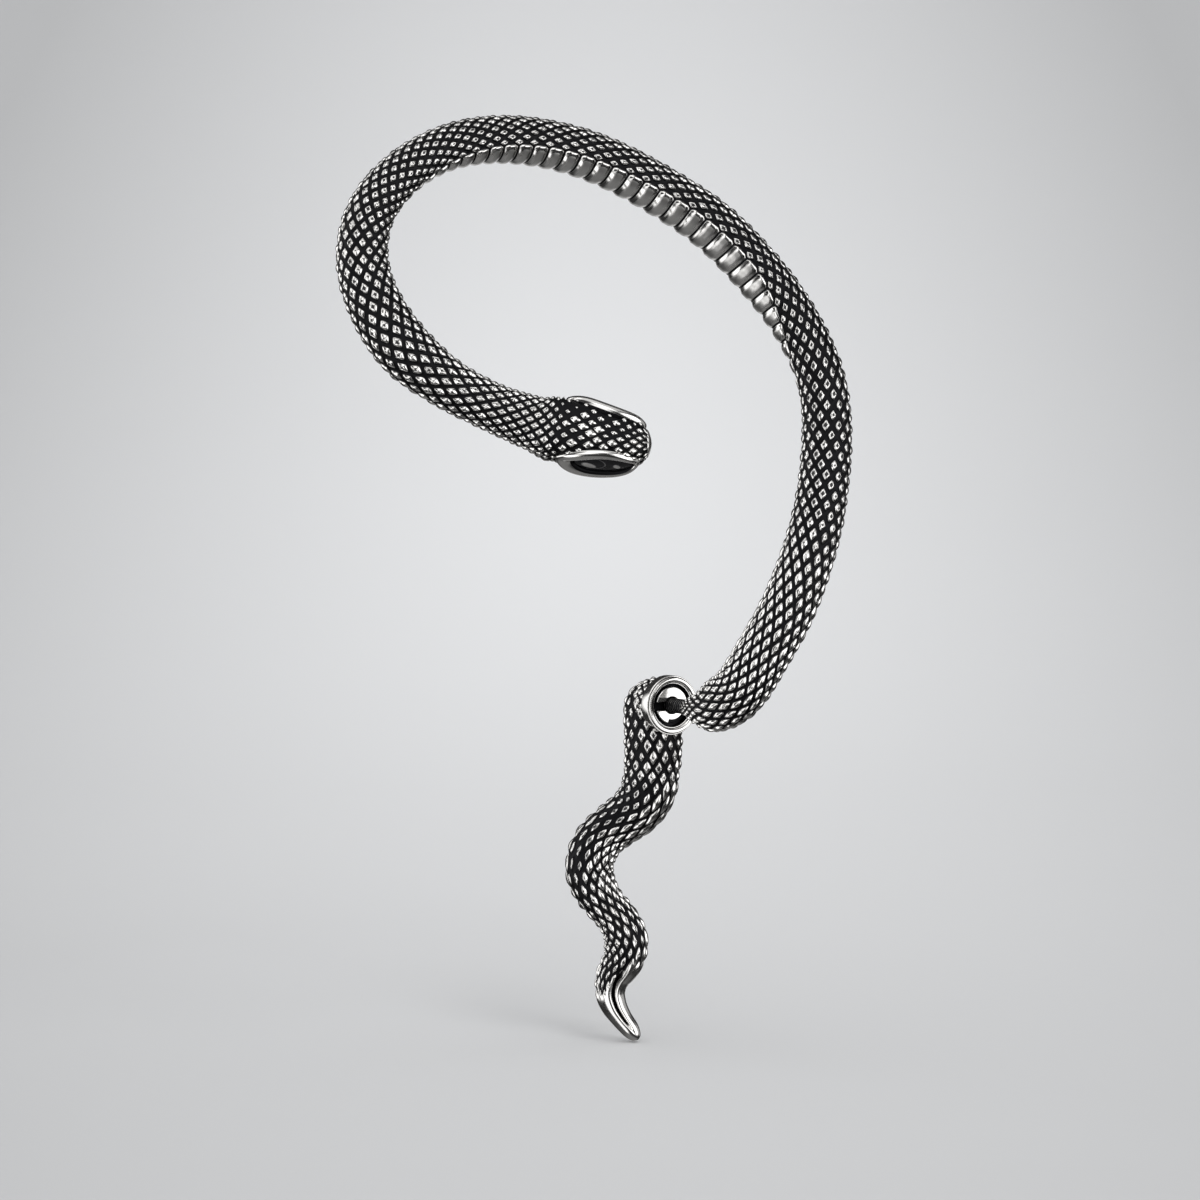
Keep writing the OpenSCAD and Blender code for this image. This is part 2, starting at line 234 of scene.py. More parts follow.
class BodySettings(PropertyGroup):
    """Sizes of the snake's body and scales"""

    thick: Length(
        name="Body thickness", description="Thickness where the table says 1",
        default=0.0042, min=0.003, max=0.006)
    relief: Length(
        name="Scale height", description="Height of a scale above its grooves",
        default=0.00027, min=0.00005, max=0.0005)
    belly_half: Angle(
        name="Half belly", description="Half of the angle that the belly plates take",
        default=math.radians(46), min=0.5, max=1.2)
    around: IntProperty(
        name="Scales around", description="Scales around the body beside the belly",
        default=10, min=6, max=14)
    steps: IntProperty(
        name="Steps", description="Mesh steps in half a scale", default=5, min=2, max=6)
    groove: FloatProperty(
        name="Groove", description="Part of a scale's half width that the groove takes",
        default=0.35, min=0.0, max=0.6, subtype="FACTOR")
    square: FloatProperty(
        name="Head squareness", description="How square the head is across, 2 is an oval",
        default=3.4, min=2.0, max=6.0)


class HeadSettings(PropertyGroup):
    """Sizes of the eyes and their rims"""

    rim_long: Length(
        name="Rim length", description="Length of the oval rim around the eye",
        default=0.0066, min=0.006, max=0.0075)
    rim_high: Length(
        name="Rim height", description="Height of the oval rim",
        default=0.0035, min=0.003, max=0.0042)
    eye_long: Length(
        name="Eye length", description="Length of the oval eye",
        default=0.0046, min=0.0035, max=0.0055)
    eye_high: Length(
        name="Eye height", description="Height of the oval eye",
        default=0.0019, min=0.001, max=0.0022)
    ahead: Length(
        name="Eye ahead", description="Distance of the eye before the middle of its rim",
        default=0.00045, min=0, max=0.0006)
    rim_out: Length(
        name="Rim distance", description="From the head's middle to the top of the rim",
        default=0.00275, min=0.0024, max=0.0032)
    lean: Angle(
        name="Lean", description="Lean of the eyes toward the crown",
        default=math.radians(18), min=0, max=0.8)
    toe: Angle(
        name="Toe", description="Angle at which the eyes close in toward the snout",
        default=math.radians(9), min=0, max=0.5)
    back: Length(
        name="Set back", description="Distance of the eyes behind the head's middle",
        default=0.0002, min=0, max=0.001)


class ClaspSettings(PropertyGroup):
    """Sizes of the post, the clutch and the collar"""

    post: Length(
        name="Post", description="Thickness of the post",
        default=0.0012, min=0.0008, max=0.0016)
    collar: Length(
        name="Collar", description="Outer width of the collar",
        default=0.0048, min=0.004, max=0.0055)
    collar_long: Length(
        name="Collar length", description="Length of the collar",
        default=0.0011, min=0.001, max=0.0015)
    neck: Length(
        name="Neck", description="Width of the tail's neck behind the collar",
        default=0.0045, min=0.004, max=0.0048)
    recess: Length(
        name="Recess", description="Width of the recess in the collar's face",
        default=0.0035, min=0.003, max=0.004)
    disc: Length(
        name="Disc", description="Width of the clutch's round face",
        default=0.00295, min=0.0024, max=0.0034)
    slot: Length(
        name="Slot", description="Width of the slot in the clutch",
        default=0.00065, min=0.0004, max=0.0012)


class LookSettings(PropertyGroup):
    """Colours and finishes"""

    steel: Colour(
        name="Steel", description="Colour of the bare steel", default=(0.66, 0.65, 0.635))
    # Also the colour of the dark pits painted in the scales' middles as painted dark reflection.
    oxide_and_pit_shade: Colour(
        name="Oxide", description="Colour of the oxide in the grooves",
        default=(0.012, 0.012, 0.013))
    stone: Colour(
        name="Stone", description="Colour of the black eyes", default=(0.006, 0.006, 0.007))
    floor: Colour(
        name="Floor", description="Colour of the floor and the wall",
        default=(0.622, 0.625, 0.629))
    polish: FloatProperty(
        name="Polish", description="Roughness of the scales' tops", default=0.13,
        min=0.02, max=0.6, subtype="FACTOR")


class ClimberSettings(PropertyGroup):
    """All settings of the ear climber"""

    body: PointerProperty(type=BodySettings)
    head: PointerProperty(type=HeadSettings)
    clasp: PointerProperty(type=ClaspSettings)
    look: PointerProperty(type=LookSettings)


def settings():
    """The settings that the panel shows."""
    return bpy.context.scene.snake_climber


def unit(v):
    """Each vector of an array divided by its own length."""
    return v / np.linalg.norm(v, axis=-1, keepdims=True)


def smooth(low, high, value):
    """The cubic 3t^2 - 2t^3, where t runs from 0 at low to 1 at high and is held between."""
    t = np.clip((value - low) / (high - low), 0, 1)
    return t * t * (3 - 2 * t)


def spline(rows, places):
    """The Catmull-Rom curve through a table's rows: in each span, the cubic that passes
    through its two ends and leaves each in the direction of that row's two neighbours."""
    last = len(rows) - 1
    i = np.clip(np.floor(places).astype(int), 0, last - 1)
    t = (places - i)[:, None]
    a = rows[np.clip(i - 1, 0, last)]
    b = rows[i]
    c = rows[i + 1]
    d = rows[np.clip(i + 2, 0, last)]
    cubic = 3 * b - a - 3 * c + d
    return 0.5 * (2 * b + (c - a) * t + (2 * a - 5 * b + 4 * c - d) * t**2 + cubic * t**3)


def heading(rows, places):
    """The unit vector from the curve's point just before each place to the one just after."""
    step = 0.05
    after = np.minimum(places + step, len(rows) - 1)
    before = np.maximum(places - step, 0)
    return unit(spline(rows, after)[:, :3] - spline(rows, before)[:, :3])


def scale_places(rows, steps):
    """Places in the table at equal steps of the scale pattern. The pattern's phase is the
    running sum of length over scale length, and the places are read off it backward."""
    last = len(rows) - 1
    fine = np.linspace(0, last, last * 40 + 1)
    curve = spline(rows, fine)
    length = np.linalg.norm(np.diff(curve[:, :3], axis=0), axis=1)
    pitch = 0.5 * (curve[1:, PITCH] + curve[:-1, PITCH])
    phase = np.concatenate([[0], np.cumsum(length / pitch)])
    cells = 2 * int(round(phase[-1]))
    return np.interp(np.linspace(0, phase[-1], cells * steps + 1), phase, fine), cells


def body_frame(way, belly):
    """Two unit vectors across each step of the path: under points to the belly, which is the
    viewer's side turned about the path by the belly angle, and flank is way cross under."""
    viewer = np.array([0.0, -1.0, 0.0])
    front = unit(viewer - way * (way @ viewer)[:, None])
    side = np.cross(front, way)
    under = front * np.cos(belly)[:, None] + side * np.sin(belly)[:, None]
    return under, np.cross(way, under)


def noise_table(seed):
    """A fixed table of numbers from 0 to 1, one for each scale of a repeating field."""
    return np.random.default_rng(seed).random((64, 64))


def scale_fields(x, y, groove, oxide_and_pit_shade, vary, lay, seed):
    """Height, inside, front and chance of a field of scales. Each scale's cell is a diamond
    whose sides are the lines where x + y or x - y is odd. From the cell's middle, the shares
    of the way to its two sides, each to the power 6, add up to the share to the power 6 of a
    diamond with rounded corners. Inside runs from 0 at that scale's edge to 1 at its middle,
    and the dome over it is 1 - (1 - inside)^2. Front runs from -1 to 1 toward its free end,
    which stands higher. Chance sets the dark pit painted in its middle as a painted dark
    reflection. Fixed tables vary both."""
    first = 1 - np.abs((x + y) % 2 - 1)
    second = 1 - np.abs((x - y) % 2 - 1)
    a = np.round((x + y) / 2).astype(int)
    b = np.round((x - y) / 2).astype(int)
    chance = noise_table(seed)[a % 64, b % 64]
    gap = groove + vary * (noise_table(seed + 1)[a % 64, b % 64] - 0.5)
    near = 1 - (first**6 + second**6) ** (1 / 6)
    inside = (near - gap) / (1 - gap)
    dome = 1 - (1 - np.clip(inside, 0, 1)) ** 2
    front = lay * (x - (a + b))
    wall = smooth(gap - 0.20, gap + 0.03, near)
    rise = wall * (0.36 + 0.56 * dome + 0.08 * chance + 0.14 * front * dome)
    return rise, inside, front, np.clip(oxide_and_pit_shade + 0.6 * (chance - 0.5), 0, 1)


def plate_fields(x, out, pitch):
    """Height, inside and depth of a belly plate at phase x, and out millimetres in from its
    end. The depth within the plate's rounded outline sets a steep edge and a broad pad. A
    fine valley runs along the plate's end, and the pad is higher toward its lower seam."""
    seam = 0.10
    corner = 0.3
    along = np.abs(x % 2 - 1) * pitch / 2 - seam
    gap = np.hypot(np.maximum(corner - along, 0), np.maximum(corner - out, 0))
    depth = corner - gap + np.clip(np.minimum(along, out) - corner, 0, None)
    edge = smooth(-0.06, 0.06, depth)
    end = smooth(0.40, 0.25, out)
    valley_at, valley_wide = 0.17, 0.045
    valley = np.exp(-((depth - valley_at) / valley_wide) ** 2) * end
    pad = smooth(0.0, 0.42, along)
    ahead = (x + 1) % 2 - 1
    rise = edge * (0.50 + 0.50 * pad + 0.14 * ahead * pad - 0.25 * valley)
    return rise, depth / 0.25 - 1.2 * valley, depth


def tube_faces(x, y):
    """Triangles of a tube of rings at the phases x along and y around, closed at each end by
    a fan to a pole. The two poles follow the rings' corners. Each cell is split along the
    groove that runs through it, so an edge of the mesh follows each groove."""
    rows, columns = len(x), len(y)
    k, c = np.meshgrid(np.arange(rows - 1), np.arange(columns), indexing="ij")
    n = (c + 1) % columns
    a = k * columns + c
    b = a + columns
    d = k * columns + n
    e = d + columns
    phase = np.floor(x[:-1, None] + PHASE_SLACK) + np.floor(y[None, :] + PHASE_SLACK)
    falling = (phase % 2 == 0)[..., None]
    one = np.where(falling, np.stack([a, d, b], -1), np.stack([a, e, b], -1))
    two = np.where(falling, np.stack([b, d, e], -1), np.stack([a, d, e], -1))
    total = rows * columns
    ring = np.arange(columns)
    pole = np.full_like(ring, total)
    low = np.stack([pole, np.roll(ring, -1), ring], -1)
    ring = ring + total - columns
    high = np.stack([pole + 1, ring, np.roll(ring, -1)], -1)
    return np.concatenate([one.reshape(-1, 3), two.reshape(-1, 3), low, high])


def put(name, data):
    """A new object at the origin, in the scene."""
    thing = bpy.data.objects.new(name, data)
    bpy.context.scene.collection.objects.link(thing)
    return thing


def mesh_object(name, points, faces, material):
    """A smooth mesh object from arrays in millimetres."""
    faces = np.asarray(faces, dtype=np.int32)
    mesh = bpy.data.meshes.new(name)
    mesh.vertices.add(len(points))
    mesh.vertices.foreach_set("co", (np.asarray(points) * MM).astype(np.float32).ravel())
    mesh.loops.add(faces.size)
    mesh.loops.foreach_set("vertex_index", faces.ravel())
    mesh.polygons.add(len(faces))
    starts = np.arange(0, faces.size, faces.shape[1], dtype=np.int32)
    mesh.polygons.foreach_set("loop_start", starts)
    mesh.polygons.foreach_set("use_smooth", np.ones(len(faces), dtype=bool))
    mesh.update(calc_edges=True)
    if mesh.validate():
        raise RuntimeError(name + " has faulty faces")
    mesh.materials.append(material)
    return put(name, mesh)


def build(name, shape, material, body, nodes=()):
    """Makes a piece from its points, faces and fields, and hands it to the frame: the body
    that it rides on and the nodes it replaces. The fields are the height
    alone, or have inside, front and chance beside it."""
    points, faces, fields = shape
    piece = mesh_object(name, points, faces, material)
    fields = np.asarray(fields, dtype=np.float32).reshape(len(points), -1)
    layer = piece.data.attributes.new("rise", "FLOAT", "POINT")
    layer.data.foreach_set("value", fields[:, 0].copy())
    if fields.shape[1] == len(BARE):
        layer = piece.data.attributes.new("scale", "FLOAT_VECTOR", "POINT")
        layer.data.foreach_set("vector", fields[:, 1:].ravel())
    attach(piece, body)
    if nodes:
        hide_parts(*nodes)


def bulge(angle, square):
    """How much further a corner lies from the middle than on an oval: the sum of |cos| and
    |sin| to the power square, to the power -1 / square."""
    total = np.abs(np.cos(angle)) ** square + np.abs(np.sin(angle)) ** square
    return total ** (-1 / square)


def turn_share():
    """Each scale column's place around the body, from 0 to 1 between the belly's sides."""
    body = settings().body
    count = 2 * body.around * body.steps
    return np.arange(count) / count


def around_columns():
    """The mesh columns around the body: phase y of the scale columns, and place from 0 to 1
    across the belly for the others."""
    body = settings().body
    steps = body.steps
    return np.arange(2 * body.around * steps) / steps, np.arange(3 * steps) / (3 * steps)


def all_columns():
    """The phase y of every column, which is 0 across the belly."""
    y, edge = around_columns()
    return np.concatenate([y, np.zeros(len(edge))])


def column_angles(half):
    """Every column's angle from the belly's middle, where half the belly takes the angle
    half. The scale columns share the rest of the turn evenly."""
    y, edge = around_columns()
    half = half[:, None]
    share = y / (2 * settings().body.around)
    return np.concatenate([half + share * (2 * math.pi - 2 * half),
                           -half + 2 * half * edge], axis=1)


def body_fields(x, half, wide, pitch, groove, oxide_and_pit_shade, vary, lay, seed):
    """The fields of scales and belly plates together, stacked as the last axis. The plates
    take the half scales beside the belly, and the next scales keep clear of the plates."""
    across = 2 * settings().body.around
    y, edge = around_columns()
    y = y[None, :]
    rise, inside, front, chance = scale_fields(x, y, groove, oxide_and_pit_shade, vary, lay, seed)
    step = wide / 2 * (2 * math.pi - 2 * half) / across
    beside = np.minimum(y, across - y)
    high, within, depth = plate_fields(x, (PLATE_OVER - beside) * step, pitch)
    column = np.round((x + y) / 2) - np.round((x - y) / 2)
    half_scale = (column % across) == 0
    clear = smooth(0.06, 0.20, -depth)
    rise = np.where(half_scale, 0, rise * clear)
    inside = np.where(half_scale, -1, np.minimum(inside, (-depth - 0.14) / 0.2))
    plate = high > rise
    scales = np.stack([np.where(plate, high, rise), np.maximum(inside, within),
                       np.where(plate, 1, front), np.where(plate, 0, chance)], -1)
    reach = np.minimum(edge, 1 - edge)[None, :] * 2 * half * wide / 2
    high, within, depth = plate_fields(x, reach + PLATE_OVER * step, pitch)
    plates = np.stack([high, within, np.ones_like(high), np.zeros_like(high)], -1)
    return np.concatenate([scales, plates], axis=1)


def skin(rows, belly, ends, fields_at, square=None, extra=None):
    """A scaled tube along a table's path, drawn in to its two ends. Belly is a table of place
    and the belly's width as a part of the setting. At phase x along and angle phase y around,
    a corner lies on the path's ellipse, or outside it by the bulge of square, pulled in by the
    relief that its height leaves free. Extra changes the radius and the fields."""
    body = settings().body
    places, cells = scale_places(rows, body.steps)
    table = spline(rows, places)
    under, flank = body_frame(heading(rows, places), np.radians(table[:, BELLY]))
    x = np.arange(cells * body.steps + 1) / body.steps
    half = body.belly_half * np.interp(places, *np.transpose(belly))
    angle = column_angles(half)
    wide = (table[:, THICK] * body.thick / MM)[:, None]
    fields = fields_at(x[:, None], half[:, None], places[:, None], wide, table[:, PITCH, None])
    radius = wide / 2 * np.ones_like(angle)
    if square is not None:
        radius = radius * bulge(angle, square(places)[:, None])
    radius = radius - body.relief / MM * (1 - fields[..., 0])
    if extra is not None:
        radius, fields = extra(radius, fields, angle, places[:, None])
    ring = (under[:, None] * (np.cos(angle) * table[:, FLAT][:, None])[..., None]
            + flank[:, None] * np.sin(angle)[..., None])
    points = table[:, None, :3] + ring * radius[..., None]
    return (np.concatenate([points.reshape(-1, 3), ends]), tube_faces(x, all_columns()),
            np.concatenate([fields.reshape(-1, 4), [BARE, BARE]]))


def link(tree, source, target):
    """Joins two sockets."""
    tree.links.new(source, target)


def add(tree, kind, inputs=(), **marks):
    """A new shader node with its properties set. Each of its inputs, by name or number, is
    linked to a socket or set to a number, a vector or a colour."""
    node = tree.nodes.new("ShaderNode" + kind)
    for mark, value in marks.items():
        setattr(node, mark, value)
    for key, value in dict(inputs).items():
        socket = node.inputs[key]
        if isinstance(value, bpy.types.NodeSocket):
            link(tree, value, socket)
        else:
            socket.default_value = (*value, 1) if socket.type == "RGBA" else value
    return node


def noise(tree, place, scale, detail=3, rough=0.6, distortion=0):
    """A noise texture's factor at a scale in waves per metre."""
    node = add(tree, "TexNoise", {"Scale": scale, "Detail": detail, "Roughness": rough,
                                  "Distortion": distortion, "Vector": place})
    return node.outputs["Fac"]


def calc(tree, operation, first, second):
    """One math node; each input is a socket or a number."""
    return add(tree, "Math", {0: first, 1: second}, operation=operation).outputs[0]


def ranged(tree, value, low, high, to_low=0, to_high=1):
    """A map range node that runs smoothly between its two ends."""
    node = add(tree, "MapRange", {"Value": value, "From Min": low, "From Max": high,
                                  "To Min": to_low, "To Max": to_high},
               interpolation_type="SMOOTHSTEP")
    return node.outputs["Result"]


def mixed(tree, factor, first, second, blend="MIX"):
    """A colour mix, by the mix node's colour sockets; the two ends are sockets or colours."""
    node = add(tree, "Mix", {0: factor, 6: first, 7: second}, data_type="RGBA", blend_type=blend)
    return node.outputs[2]


def attribute(tree, name, output):
    """A socket with one of the mesh's own attributes."""
    return add(tree, "Attribute", attribute_name=name).outputs[output]


def node_group(name, inputs, outputs):
    """A new shader node group, its inner input sockets and its inner output sockets. Inputs
    are given by name and default, outputs by name and kind."""
    tree = bpy.data.node_groups.new(name, "ShaderNodeTree")
    for label, default in inputs.items():
        kind = {1: "Float", 3: "Vector", 4: "Color"}[np.size(default)]
        socket = tree.interface.new_socket(name=label, in_out="INPUT",
                                           socket_type="NodeSocket" + kind)
        socket.default_value = default
    for label, kind in outputs.items():
        tree.interface.new_socket(name=label, in_out="OUTPUT", socket_type="NodeSocket" + kind)
    given = tree.nodes.new("NodeGroupInput")
    return tree, given.outputs, tree.nodes.new("NodeGroupOutput").inputs


def ageing_group():
    """The group that turns a mask of bare metal into steel and black oxide, with cloudy
    tarnish, fine scratches and casting grain."""
    name = "Oxidised steel"
    if name in bpy.data.node_groups:
        return bpy.data.node_groups[name]
    tree, given, result = node_group(
        name, {"Bare": 1.0, "Place": (0, 0, 0), "Steel": (0.6, 0.6, 0.6, 1),
               "Oxide": (0.01, 0.01, 0.01, 1), "Polish": 0.2, "Stain": 0.3},
        {"Color": "Color", "Roughness": "Float", "Height": "Float"})
    place = given["Place"]
    bare = given["Bare"]
    cloud = noise(tree, place, 420)
    grain = noise(tree, place, 6500)
    speck = noise(tree, place, *SPECK)
    stained = calc(tree, "MULTIPLY", ranged(tree, cloud, 0.42, 0.72), given["Stain"])
    dull = mixed(tree, stained, (1, 1, 1), (0.5, 0.49, 0.48))
    tinted = mixed(tree, 1.0, given["Steel"], dull, "MULTIPLY")
    link(tree, mixed(tree, bare, given["Oxide"], tinted), result["Color"])
    shine = calc(tree, "ADD", given["Polish"], calc(tree, "MULTIPLY", grain, 0.1))
    shine = calc(tree, "ADD", shine, calc(tree, "MULTIPLY", stained, 0.2))
    rough = add(tree, "Mix", {"Factor": bare, "A": OXIDE_ROUGH, "B": shine}, data_type="FLOAT")
    link(tree, rough.outputs[0], result["Roughness"])
    bumpy = calc(tree, "ADD", calc(tree, "MULTIPLY", speck, 0.8),
                 calc(tree, "MULTIPLY", grain, 0.25))
    link(tree, bumpy, result["Height"])
    return tree


def oxide_and_shade_group():
    """The group that says where a smooth piece is bare, from its height alone. Below it the
    piece takes the dark oxide colour: oxide in its corners, and painted shade on the rims'
    inner edges and in the clutch's slot, step and bore.
    """
    name = "Oxide in the corners"
    if name in bpy.data.node_groups:
        return bpy.data.node_groups[name]
    tree, given, result = node_group(
        name, {"Rise": 1.0, "Place": (0, 0, 0), "Wear": 0.5}, {"Bare": "Float"})
    speck = noise(tree, given["Place"], *SPECK)
    jitter = calc(tree, "MULTIPLY", calc(tree, "SUBTRACT", speck, 0.5), 0.3)
    height = calc(tree, "ADD", given["Rise"], jitter)
    edge = calc(tree, "SUBTRACT", height, given["Wear"])
    link(tree, ranged(tree, edge, -0.14, 0.16), result["Bare"])
    return tree


def scale_group():
    """The group that says where each scale is bare. Its edge is bare all round, and a dark
    pit is painted in its middle as a painted dark reflection, the wider, the higher the
    scale's chance. The broad middles of the belly plates, where inside is over 1, have a mask
    of their own."""
    name = "Worn scales"
    if name in bpy.data.node_groups:
        return bpy.data.node_groups[name]
    tree, given, result = node_group(
        name, {"Scale": (0.4, 1, 0), "Place": (0, 0, 0)},
        {"Bare": "Float", "Dent": "Float", "Plate": "Float"})
    inside, front, chance = add(tree, "SeparateXYZ", {0: given["Scale"]}).outputs
    speck = noise(tree, given["Place"], 3800, distortion=0.5)
    ragged = calc(tree, "SUBTRACT", speck, 0.5)
    edge = calc(tree, "ADD", inside, calc(tree, "MULTIPLY", ragged, 0.2))
    bare = ranged(tree, edge, -0.10, 0.06)
    # Dark pit painted in the scale's middle as a painted dark reflection, wider with more
    # chance.
    pit_at = calc(tree, "ADD", edge, calc(tree, "MULTIPLY", chance, 0.62))
    pit_at = calc(tree, "ADD", pit_at, calc(tree, "MULTIPLY", front, -0.12))
    painted_dark_pit = ranged(tree, pit_at, 0.98, 1.14)
    some = ranged(tree, chance, 0.1, 0.3)
    hollow = calc(tree, "MULTIPLY", ranged(tree, pit_at, 0.70, 1.14), some)
    painted_dark_pit = calc(tree, "MULTIPLY", painted_dark_pit, some)
    kept = calc(tree, "SUBTRACT", 1.0, calc(tree, "MULTIPLY", painted_dark_pit, 0.94))
    link(tree, calc(tree, "MULTIPLY", bare, kept), result["Bare"])
    link(tree, hollow, result["Dent"])
    link(tree, ranged(tree, inside, 1.0, 1.3), result["Plate"])
    return tree


def new_material(name):
    """A new material, its node tree, its shader's inputs and its Object coordinates."""
    material = bpy.data.materials.new(name)
    material.use_nodes = True
    tree = material.node_tree
    place = add(tree, "TexCoord").outputs["Object"]
    return material, tree, tree.nodes["Principled BSDF"].inputs, place


def steel_material(name, polish, stain, bump, oxide_and_shade_below=None):
    """Steel with the shared ageing: polish is the roughness of bare metal, stain the strength
    of the cloudy tarnish, bump that of the grain, and the last argument the height under
    which the piece takes the dark oxide colour, as oxide and as painted shade. Without it the
    piece has scales with hollow middles and dark pits painted in them, and plates with a
    satin finish."""
    if name in bpy.data.materials:
        return bpy.data.materials[name]
    look = settings().look
    material, tree, shader, place = new_material(name)
    shader["Metallic"].default_value = 1.0
    if oxide_and_shade_below is None:
        scale = attribute(tree, "scale", "Vector")
        mask = add(tree, "Group", {"Scale": scale, "Place": place}, node_tree=scale_group())
    else:
        rise = attribute(tree, "rise", "Fac")
        mask = add(tree, "Group", {"Rise": rise, "Wear": oxide_and_shade_below, "Place": place},
                   node_tree=oxide_and_shade_group())
    aged = add(tree, "Group",
               {"Steel": look.steel, "Oxide": look.oxide_and_pit_shade, "Polish": polish, "Stain": stain,
                "Place": place, "Bare": mask.outputs["Bare"]},
               node_tree=ageing_group()).outputs
    roughness = aged["Roughness"]
    relief = add(tree, "Bump", {"Strength": bump, "Distance": GRAIN_DEEP,
                                "Height": aged["Height"]})
    if oxide_and_shade_below is None:
        satin = calc(tree, "MULTIPLY", mask.outputs["Plate"], PLATE_SATIN)
        roughness = calc(tree, "ADD", roughness, satin)
        hollow = add(tree, "Bump", {"Strength": 1.0, "Distance": HOLLOW_DEEP,
                                    "Height": mask.outputs["Dent"]}, invert=True)
        link(tree, hollow.outputs["Normal"], relief.inputs["Normal"])
    link(tree, aged["Color"], shader["Base Color"])
    link(tree, roughness, shader["Roughness"])
    link(tree, relief.outputs["Normal"], shader["Normal"])
    return material


def scale_steel():
    """The material of every scaled piece."""
    return steel_material("Oxidised scales", settings().look.polish, stain=0.25, bump=0.035)


def stone_material():
    """Glossy black, with a faint cloud and fine polishing marks, and highlights painted as
    spots of bare steel colour where the piece's rise is high."""
    look = settings().look
    material, tree, shader, place = new_material("Black eyes")
    cloud = noise(tree, place, 900, detail=4, distortion=0.6)
    shade = mixed(tree, ranged(tree, cloud, 0.45, 0.8), look.stone, (0.02, 0.02, 0.022))
    # Painted highlights: steel colour and metal where the eye's rise is high.
    painted_glint = ranged(tree, attribute(tree, "rise", "Fac"), 0.15, 0.8)
    link(tree, mixed(tree, painted_glint, shade, look.steel), shader["Base Color"])
    link(tree, painted_glint, shader["Metallic"])
    marks = noise(tree, place, 5200)
    gloss = ranged(tree, marks, 0.3, 0.8, 0.08, 0.18)
    brushed = calc(tree, "MULTIPLY", painted_glint, 0.34)
    link(tree, calc(tree, "ADD", gloss, brushed), shader["Roughness"])
    shader["IOR"].default_value = 1.35
    return material


def stage_material():
    """Matt pale paper with a very faint mottling and a painted pool of light, which darkens it
    outward from its middle: with q the sum of the squares of the distances to the side and in
    depth, each as a part of its own length, the painted light is high - fall times the root
    of q + soft squared, but not under the least."""
    material, tree, shader, place = new_material("Pale paper")
    part = add(tree, "VectorMath", {0: place, 1: PAINTED_POOL_PART, 2: PAINTED_POOL_SHIFT},
               operation="MULTIPLY_ADD")
    length = add(tree, "VectorMath", {0: part.outputs[0]}, operation="LENGTH")
    fall = calc(tree, "MULTIPLY", length.outputs["Value"], PAINTED_POOL_FALL)
    # Painted light: a pool of light on the paper, falling off outward from its middle.
    painted_light_pool = calc(tree, "MAXIMUM", calc(tree, "SUBTRACT", PAINTED_POOL_HIGH, fall), PAINTED_POOL_LEAST)
    base = tuple(settings().look.floor)
    darker = tuple(c * 0.985 for c in base)
    paper = mixed(tree, noise(tree, place, 14, detail=4), darker, base)
    link(tree, mixed(tree, 1.0, paper, painted_light_pool, "MULTIPLY"), shader["Base Color"])
    shader["Roughness"].default_value = 0.6
    shader["Specular IOR Level"].default_value = 0.1
    return material


class CLIMBER_OT_body(Operator):
    """Build the scaled body and head of the snake as one cast skin"""

    bl_idname = "snake_climber.body"
    bl_label = "Snake body"

    def execute(self, context):
        body = settings().body

        def fields_at(x, half, places, wide, pitch):
            """Scales and plates, with gaps and dark pits painted as painted dark reflection by
            the place along the body. The head's scales are flatter and more uneven, smaller
            toward its upper rim and its neck, and the snout is plain."""
            head = smooth(NECK_ROW, HEAD_ROW + 0.8, places)
            groove = np.interp(places, HOOK_SURFACE_ROWS[:, ROW], HOOK_SURFACE_ROWS[:, GROOVE])
            # How big the dark pits painted in the scales' middles are here.
            oxide_and_pit_shade = np.interp(places, HOOK_SURFACE_ROWS[:, ROW], HOOK_SURFACE_ROWS[:, PAINTED_PIT])
            away = 2 * np.abs(turn_share() - CROWN_SHARE)[None, :]
            neck = np.exp(-((places - NARROW_ROW) / 0.8) ** 2)
            groove = groove + head * (0.05 + 0.42 * smooth(0.25, 0.85, away) + 0.16 * neck)
            fields = body_fields(x, half, wide, pitch, groove, oxide_and_pit_shade,
                                 vary=0.08 + 0.36 * head, lay=-1, seed=3)
            bare = smooth(SNOUT_ROW, SNOUT_ROW + 0.25, places)
            rise = fields[..., 0]
            flat = np.minimum(rise, 0.62 + 0.1 * rise)
            rise = rise + (flat - rise) * 0.9 * head
            rise = rise + (0.75 - rise) * bare
            tip = smooth(-0.2, 1.4, places)
            fields[..., 0] = 1 - (1 - rise) * (0.3 + 0.7 * tip)
            fields[..., 1] = fields[..., 1] * (1 - bare) + 0.2 * bare
            return fields

        def square(places):
            """2 along the body, and the head's own squareness from the neck on."""
            head = np.clip(places - HEAD_ROW + 1, 0, 1)
            return 2 + (body.square - 2) * head

        points, faces, fields = skin(HOOK_ROWS, HOOK_SURFACE_ROWS[:, [ROW, WIDTH]], HOOK_ENDS,
                                     fields_at, square)
        build("snake_body", (self.eye_room(points), faces, fields), scale_steel(), "hook",
              ["ear_hook"])
        return {"FINISHED"}

    def eye_room(self, points):
        """Sinks the skin that lies in front of an eye's seat to that seat."""
        seat = settings().head.rim_out / MM - EYE_DEEP
        for side in (1, -1):
            long, high, height = eye_place(side, points)
            sunk = (long**2 + high**2 < EYE_ROOM) & (height > seat)
            points = points + np.where(sunk, seat - height, 0)[:, None] * eye_frame(side)[3]
        return points


